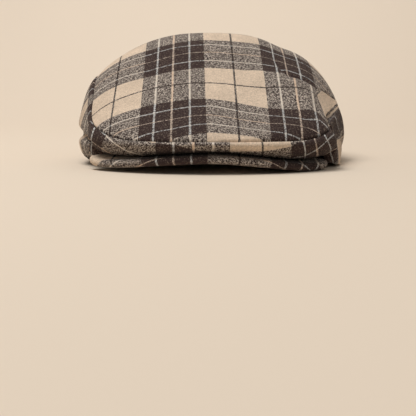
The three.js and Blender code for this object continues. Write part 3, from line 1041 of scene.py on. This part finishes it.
class Groups:
    """The shader groups that the cloth's material is put together from."""

    @staticmethod
    def start(name: str, inputs: dict[str, str], outputs: dict[str, str]) -> tuple:
        """An empty group with its sockets.

        Args:
            name: Name of the group.
            inputs: Socket type for each input's name.
            outputs: Socket type for each output's name.

        Returns:
            The group, its bench, and the nodes that hold its inputs and outputs.
        """
        group = bpy.data.node_groups.new(name, "ShaderNodeTree")
        for key, kind in inputs.items():
            group.interface.new_socket(key, in_out="INPUT", socket_type=kind)
        for key, kind in outputs.items():
            group.interface.new_socket(key, in_out="OUTPUT", socket_type=kind)
        bench = NodeBench(group)
        return group, bench, bench.node("NodeGroupInput"), bench.node("NodeGroupOutput")

    @classmethod
    def stripes(cls, name: str, order: tuple[Stripe, ...]) -> bpy.types.NodeTree:
        """The colours of one set of threads, repeated without end."""
        group, bench, source, sink = cls.start(
            name, {"Across": "NodeSocketFloat"},
            {"Colour": "NodeSocketColor", "Line": "NodeSocketFloat"},
        )
        ramp_node = bench.node("ShaderNodeValToRGB")
        ramp_node.color_ramp.interpolation = "CONSTANT"
        stops = ramp_node.color_ramp.elements
        total = sum(s.width for s in order)
        at = 0.0
        for number, stripe in enumerate(order):
            stop = stops[number] if number < 2 else stops.new(at / total)
            stop.position = at / total
            stop.color = (*stripe.yarn.linear()[:3], 1.0 if stripe.line else 0.0)
            at += stripe.width
        bench.put(ramp_node.inputs["Fac"], bench.math("FRACT", source.outputs["Across"]))
        bench.put(sink.inputs["Colour"], ramp_node.outputs["Color"])
        bench.put(sink.inputs["Line"], ramp_node.outputs["Alpha"])
        return group

    @classmethod
    def twill(cls) -> bpy.types.NodeTree:
        """Which set of threads shows on top, and how high the cloth stands, at each place."""
        group, bench, source, sink = cls.start(
            "wool_twill",
            {"Across": "NodeSocketFloat", "Along": "NodeSocketFloat", "Cloth": "NodeSocketVector",
             "Rib": "NodeSocketFloat", "Mottle": "NodeSocketFloat"},
            {"Weft share": "NodeSocketFloat", "Height": "NodeSocketFloat"},
        )
        diagonal = bench.math("ADD", source.outputs["Across"], source.outputs["Along"])
        turns = bench.math("DIVIDE", diagonal, source.outputs["Rib"])
        wave = bench.math("SINE", bench.math("MULTIPLY", turns, 2 * math.pi))
        coarse = bench.noise(source.outputs["Cloth"], 0.78, 2)
        fine = bench.noise(source.outputs["Cloth"], 1.4, 2)
        grain = bench.math("SUBTRACT", bench.math("ADD", coarse, fine), 1.0)
        loose = bench.math("MULTIPLY", grain, source.outputs["Mottle"])
        share = bench.math("MULTIPLY_ADD", wave, 0.12, 0.5)
        bench.put(sink.inputs["Weft share"], bench.math("ADD", share, loose))
        fuzz = bench.noise(source.outputs["Cloth"], 2.2, 2)
        bench.put(sink.inputs["Height"], bench.math("MULTIPLY_ADD", wave, 0.25, fuzz))
        return group


@dataclass(frozen=True)
class PlaidWool:
    """Brushed wool twill in the cap's plaid, seen alike on both faces of the cloth."""

    rib: float = 2.3  # width of one diagonal rib, in millimetres
    mottle: float = 3.0
    pepper: float = 0.26  # how much the strongest paler fibres show between dark threads
    raggedness: float = 0.004  # how far a stripe's edge strays, in repeats
    dark_lead: float = 0.24  # how much more of the darker threads shows where two shades cross
    warp_cover: tuple[float, float] = (0.5, 0.75)  # how much a line covers dark and pale threads
    weft_cover: tuple[float, float] = (0.46, 0.8)
    relief: float = 0.0002

    def material(self) -> bpy.types.Material:
        """Builds the cloth's material."""
        made = bpy.data.materials.new("plaid_wool_twill")
        made.use_nodes = True
        bench = NodeBench(made.node_tree)
        made.node_tree.nodes.clear()
        place = bench.node("ShaderNodeUVMap", uv_map=CLOTH_MAP).outputs["UV"]
        scaled = bench.node("ShaderNodeVectorMath", operation="SCALE")
        bench.put(scaled.inputs[0], place)
        scaled.inputs["Scale"].default_value = REPEAT
        turned = bench.node("ShaderNodeMapping")
        bench.put(turned.inputs["Vector"], scaled.outputs[0])
        turned.inputs["Location"].default_value = (7.3, 3.1, 5.7)
        turned.inputs["Rotation"].default_value = (0.5, 0.8, 0.4)
        cloth = turned.outputs[0]
        split = bench.node("ShaderNodeSeparateXYZ")
        bench.put(split.inputs[0], place)
        across = self.strayed(bench, split.outputs[0], cloth, 0.9)
        along = self.strayed(bench, split.outputs[1], cloth, 1.1)
        warp = self.placed(bench, Groups.stripes("warp_stripes", WARP_ORDER), Across=across)
        weft = self.placed(bench, Groups.stripes("weft_stripes", WEFT_ORDER), Across=along)
        mm = bench.node("ShaderNodeSeparateXYZ")
        bench.put(mm.inputs[0], scaled.outputs[0])
        twill = self.placed(
            bench, Groups.twill(), Across=mm.outputs[0], Along=mm.outputs[1], Cloth=cloth,
            Rib=self.rib, Mottle=self.mottle,
        )
        colour = self.woven(bench, warp, weft, twill)
        colour = self.worn(bench, colour, cloth)
        self.shade(bench, colour, twill.outputs["Height"])
        return made

    def placed(self, bench: NodeBench, group: bpy.types.NodeTree, **values: object) -> bpy.types.Node:
        """A group's node with its inputs filled."""
        made = bench.node("ShaderNodeGroup", node_tree=group)
        for key, value in values.items():
            bench.put(made.inputs[key], value)
        return made

    def strayed(self, bench: NodeBench, value: object, cloth: object, scale: float) -> object:
        """A coordinate that strays a little, as hairy yarn does at a stripe's edge."""
        stray = bench.math("SUBTRACT", bench.noise(cloth, scale, 1), 0.5)
        return bench.math("MULTIPLY_ADD", stray, self.raggedness * 2, value)

    def woven(self, bench: NodeBench, warp: object, weft: object, twill: object) -> object:
        """The colour of whichever threads lie on top, thin lines mostly covering the others."""
        shades = []
        for threads in (warp, weft):
            grey = bench.node("ShaderNodeRGBToBW")
            bench.put(grey.inputs[0], threads.outputs["Colour"])
            shades.append(bench.math("MULTIPLY", grey.outputs[0], 1.9, clamp=True))
        lead = bench.math("SUBTRACT", shades[1], shades[0])
        share = bench.math("MULTIPLY_ADD", lead, -self.dark_lead, twill.outputs["Weft share"])
        share = bench.math("ADD", share, 0.0, clamp=True)
        loose = bench.math("SUBTRACT", twill.outputs["Weft share"], 0.5)
        covers = []
        for threads, crossed, way, (dark, pale) in (
            (warp, shades[1], -0.7, self.warp_cover), (weft, shades[0], 0.9, self.weft_cover)
        ):
            cover = bench.math("MULTIPLY_ADD", crossed, pale - dark, dark)
            broken = bench.math("MULTIPLY_ADD", loose, way, cover, clamp=True)
            covers.append(bench.math("MULTIPLY", broken, threads.outputs["Line"]))
        share = bench.math("MULTIPLY", share, bench.math("SUBTRACT", 1.0, covers[0]))
        rest = bench.math("SUBTRACT", 1.0, share)
        share = bench.math("MULTIPLY_ADD", rest, covers[1], share, clamp=True)
        colour = bench.mix(share, warp.outputs["Colour"], weft.outputs["Colour"])
        cool = bench.node("ShaderNodeVectorMath", operation="MULTIPLY")
        bench.put(cool.inputs[0], colour)
        cool.inputs[1].default_value = (0.9, 0.99, 1.11)
        return bench.mix(bench.math("ABSOLUTE", lead), colour, cool.outputs[0])

    def worn(self, bench: NodeBench, colour: object, cloth: object) -> object:
        """The uneven shade of carded wool, with a few stray fibres of other colours."""
        fine = bench.math("MULTIPLY_ADD", bench.noise(cloth, 0.9, 2), 1.0, 0.5)
        broad = bench.math("MULTIPLY_ADD", bench.noise(cloth, 0.09, 2), 0.34, 0.83)
        shade = bench.node("ShaderNodeVectorMath", operation="SCALE")
        bench.put(shade.inputs[0], colour)
        bench.put(shade.inputs["Scale"], bench.math("MULTIPLY", fine, broad))
        grey = bench.node("ShaderNodeRGBToBW")
        bench.put(grey.inputs[0], colour)
        dark = bench.math("MULTIPLY_ADD", grey.outputs[0], -4.0, 1.2, clamp=True)
        pale = bench.math("MULTIPLY_ADD", bench.noise(cloth, 0.95, 2), 5.0, -2.7, clamp=True)
        pale = bench.math("MULTIPLY", pale, bench.math("MULTIPLY", dark, self.pepper))
        mixed = bench.mix(pale, shade.outputs[0], Yarn.LIGHT.linear())
        red = bench.math("MULTIPLY_ADD", bench.noise(cloth, 0.31, 3), 9.0, -6.3, clamp=True)
        return bench.mix(bench.math("MULTIPLY", red, 0.4), mixed, (0.09, 0.025, 0.025, 1))

    def shade(self, bench: NodeBench, colour: object, height: object) -> None:
        """The shader itself: dull, with the soft sheen of brushed fibres."""
        shader = bench.node("ShaderNodeBsdfPrincipled")
        bench.put(shader.inputs["Base Color"], colour)
        shader.inputs["Roughness"].default_value = 0.95
        shader.inputs["Specular IOR Level"].default_value = 0.2
        shader.inputs["Sheen Weight"].default_value = 0.05
        shader.inputs["Sheen Roughness"].default_value = 0.45
        shader.inputs["Sheen Tint"].default_value = (1.0, 0.93, 0.86, 1)
        raised = bench.node("ShaderNodeBump")
        raised.inputs["Distance"].default_value = self.relief
        raised.inputs["Strength"].default_value = 1.0
        bench.put(raised.inputs["Height"], height)
        bench.put(shader.inputs["Normal"], raised.outputs[0])
        sink = bench.node("ShaderNodeOutputMaterial")
        bench.put(sink.inputs["Surface"], shader.outputs[0])


@dataclass(frozen=True)
class Studio:
    """The pale sweep that the cap lies on, the soft lights and the camera."""

    floor_colour: tuple[float, float, float] = (0.74, 0.64, 0.53)
    lens: float = 70.0
    distance: float = 576.0  # from the front seam to the camera
    height: float = 59.0
    side: float = -2.2
    pitch: float = 8.2

    def build(self, origin: Vector) -> None:
        """Makes the stage round the cap, whose tables start at origin."""
        self.sweep()
        self.camera(origin)
        self.lamp("key", (-0.4, -0.3, 1.5), 0.9, 19.5, (1.0, 0.98, 0.95))
        self.lamp("wash", (0, 1.2, 1.9), 2.4, 18.0, (1.0, 0.98, 0.96), (0, 3.4, 0.3))
        world = bpy.data.worlds.new("soft_room")
        world.use_nodes = True
        ground = world.node_tree.nodes["Background"]
        ground.inputs["Color"].default_value = (1.0, 0.97, 0.93, 1)
        ground.inputs["Strength"].default_value = 0.32
        bpy.context.scene.world = world
        bpy.context.scene.view_settings.view_transform = "Standard"

    def sweep(self) -> None:
        """A floor that curves up far behind the cap."""
        bpy.ops.object.select_all(action="DESELECT")
        bpy.ops.mesh.primitive_plane_add(size=6, location=(0, -1.2, -0.0002))
        floor = bpy.context.object
        floor.name = "pale_sweep"
        bpy.ops.object.mode_set(mode="EDIT")
        bpy.ops.mesh.select_all(action="DESELECT")
        bpy.ops.object.mode_set(mode="OBJECT")
        for edge in floor.data.edges:
            ends = [floor.data.vertices[v].co.y for v in edge.vertices]
            edge.select = min(ends) > 2.9
        bpy.ops.object.mode_set(mode="EDIT")
        bpy.ops.mesh.select_mode(type="EDGE")
        bpy.ops.mesh.extrude_region_move(TRANSFORM_OT_translate={"value": (0, 0, 3)})
        bpy.ops.object.mode_set(mode="OBJECT")
        bpy.ops.object.modifier_add(type="BEVEL")
        bend = floor.modifiers[-1]
        bend.width = 1.2
        bend.segments = 24
        bpy.ops.object.modifier_apply(modifier=bend.name)
        bpy.ops.object.transform_apply(location=True, rotation=True, scale=True)
        bpy.ops.object.shade_smooth()
        paper = bpy.data.materials.new("pale_paper")
        paper.use_nodes = True
        shader = paper.node_tree.nodes["Principled BSDF"]
        shader.inputs["Base Color"].default_value = (*self.floor_colour, 1)
        shader.inputs["Roughness"].default_value = 0.9
        shader.inputs["Specular IOR Level"].default_value = 0.1
        floor.data.materials.append(paper)

    def camera(self, origin: Vector) -> None:
        """Sets the camera low in front of the cap, looking a little down."""
        made = bpy.data.cameras.new("camera")
        made.lens = self.lens
        made.sensor_width = 36
        made.clip_start = 0.01
        holder = bpy.data.objects.new("camera", made)
        holder.location = origin + Vector((self.side, -self.distance, self.height)) * MM
        holder.rotation_euler = (math.radians(90 - self.pitch), 0, 0)
        bpy.context.scene.collection.objects.link(holder)
        bpy.context.scene.camera = holder

    def lamp(self, name: str, place: Triple, size: float, power: float, colour: Triple,
             target: Triple = (0, 0, 0.05)) -> None:
        """Adds a soft square light.

        Args:
            name: Name of the light.
            place: Where it hangs, in metres.
            size: Length of its side, in metres.
            power: Its power, in watts.
            colour: Its colour.
            target: The point it faces.
        """
        light = bpy.data.lights.new(name, "AREA")
        light.size = size
        light.energy = power
        light.color = colour
        holder = bpy.data.objects.new(name, light)
        holder.location = place
        aim = Vector(target) - Vector(place)
        holder.rotation_euler = aim.to_track_quat("-Z", "Y").to_euler()
        bpy.context.scene.collection.objects.link(holder)


class FlatCap:
    """The whole cap: its panels and peak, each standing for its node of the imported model."""

    def __init__(self) -> None:
        """Sets out the pieces."""
        form = CapForm()
        self.origin = form.middle()
        origin = self.origin
        back = float(SIDE_STEPS)
        self.parts = {
            "top_panel": TopPanel(form, origin),
            "front_panel": FrontPanel(
                "front_panel_cloth", form, origin, -PANEL_SEAM_ROW, PANEL_SEAM_ROW, 170, 16, 5.0
            ),
            "side_panel_right": TuckedSidePanel(
                "side_panel_right_cloth", form, origin, PANEL_SEAM_ROW, back, 150, 60, 6.0,
                grain=7.0, rear_grain=4.0, across_start=-18.3, down_start=-59.0
            ),
            "side_panel_left": GatheredSidePanel(
                "side_panel_left_cloth", form, origin, back, LOOP_STEPS - PANEL_SEAM_ROW, 150, 52,
                7.0, corner_row=LOOP_STEPS - PANEL_SEAM_ROW, across_start=-56.0, down_start=-43.0
            ),
            "peak": Peak(form, origin),
        }

    def build(self) -> None:
        """Models and dresses every piece."""
        wool = PlaidWool().material()
        for node, part in self.parts.items():
            piece = part.build()
            piece.data.materials.clear()
            piece.data.materials.append(wool)
            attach(piece, BODY)
            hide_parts(node)
            LOG.info("%s: %d faces", piece.name, len(piece.data.polygons))


def main() -> None:
    """Builds the cap and its stage."""
    logging.basicConfig(level=logging.INFO, format="%(name)s: %(message)s")
    cap = FlatCap()
    cap.build()
    Studio().build(cap.origin)


if __name__ == "__main__":
    main()
